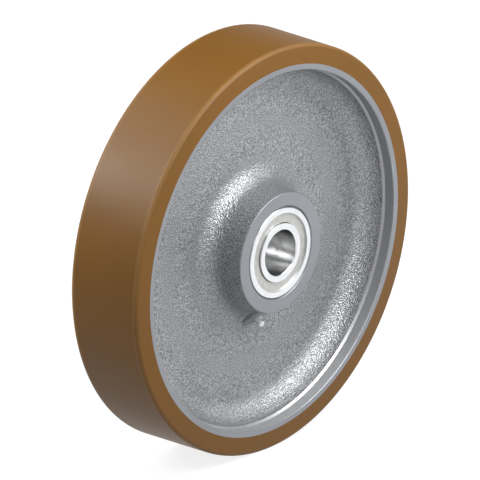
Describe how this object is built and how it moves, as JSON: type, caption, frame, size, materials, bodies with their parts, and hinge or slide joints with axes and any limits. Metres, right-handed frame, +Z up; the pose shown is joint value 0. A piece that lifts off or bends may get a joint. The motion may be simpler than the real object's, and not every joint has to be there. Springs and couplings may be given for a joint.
{
  "type": "heavy duty wheel",
  "caption": "Heavy duty wheel: amber polyurethane tread on a dished cast iron centre, with shielded ball bearings in the hub and a grease nipple.",
  "frame": {"origin": "centre of the wheel, on the axle's axis and midway between the two hub faces", "axes": "+Y along the axle towards the rear bearing, -Y out of the face with the grease nipple, +Z up, the nipple hanging down along -Z"},
  "size_m": [0.36, 0.09, 0.36],
  "materials": {
    "polyurethane": "smooth satin amber-brown polyurethane",
    "painted_casting": "silver paint over sand-cast grain, smooth on the turned rim and hub faces",
    "bearing_steel": "ground bearing steel",
    "shield_steel": "matt pressed sheet",
    "cage_steel": "pressed sheet steel",
    "spacer_steel": "drawn steel tube",
    "nipple_steel": "bright zinc plate"
  },
  "bodies": {
    "axle_sleeve": {"spacer_tube": "spacer_steel", "front_inner_ring": "bearing_steel", "rear_inner_ring": "bearing_steel"},
    "wheel": {"tread": "polyurethane", "wheel_centre": "painted_casting", "front_outer_ring": "bearing_steel", "front_shield": "shield_steel", "rear_outer_ring": "bearing_steel", "rear_shield": "shield_steel", "grease_nipple_body": "nipple_steel", "grease_nipple_spring": "nipple_steel"},
    "front_cage": {"front_balls": "bearing_steel", "front_cage_outer": "cage_steel", "front_cage_inner": "cage_steel", "front_cage_rivets": "cage_steel"},
    "rear_cage": {"rear_balls": "bearing_steel", "rear_cage_outer": "cage_steel", "rear_cage_inner": "cage_steel", "rear_cage_rivets": "cage_steel"},
    "nipple_valve": {"grease_nipple_ball": "nipple_steel"}
  },
  "joints": [
    {"name": "wheel_spin", "type": "hinge", "parent": "axle_sleeve", "child": "wheel", "pos_m": [0, 0, 0], "axis": [0, 1, 0], "continuous": true},
    {"name": "front_cage_turn", "type": "hinge", "parent": "axle_sleeve", "child": "front_cage", "pos_m": [0, -0.036, 0], "axis": [0, 1, 0], "continuous": true},
    {"name": "rear_cage_turn", "type": "hinge", "parent": "axle_sleeve", "child": "rear_cage", "pos_m": [0, 0.036, 0], "axis": [0, 1, 0], "continuous": true},
    {"name": "nipple_valve_push", "type": "slide", "parent": "wheel", "child": "nipple_valve", "axis": [0, 0.6428, 0.766], "range_m": [0, 0.001], "stiffness_N_per_m": 300, "deforming": ["grease_nipple_spring"]}
  ],
  "couplings": [
    {"joint": "front_cage_turn", "follows": "wheel_spin", "ratio": 0.5917},
    {"joint": "rear_cage_turn", "follows": "wheel_spin", "ratio": 0.5917}
  ]
}
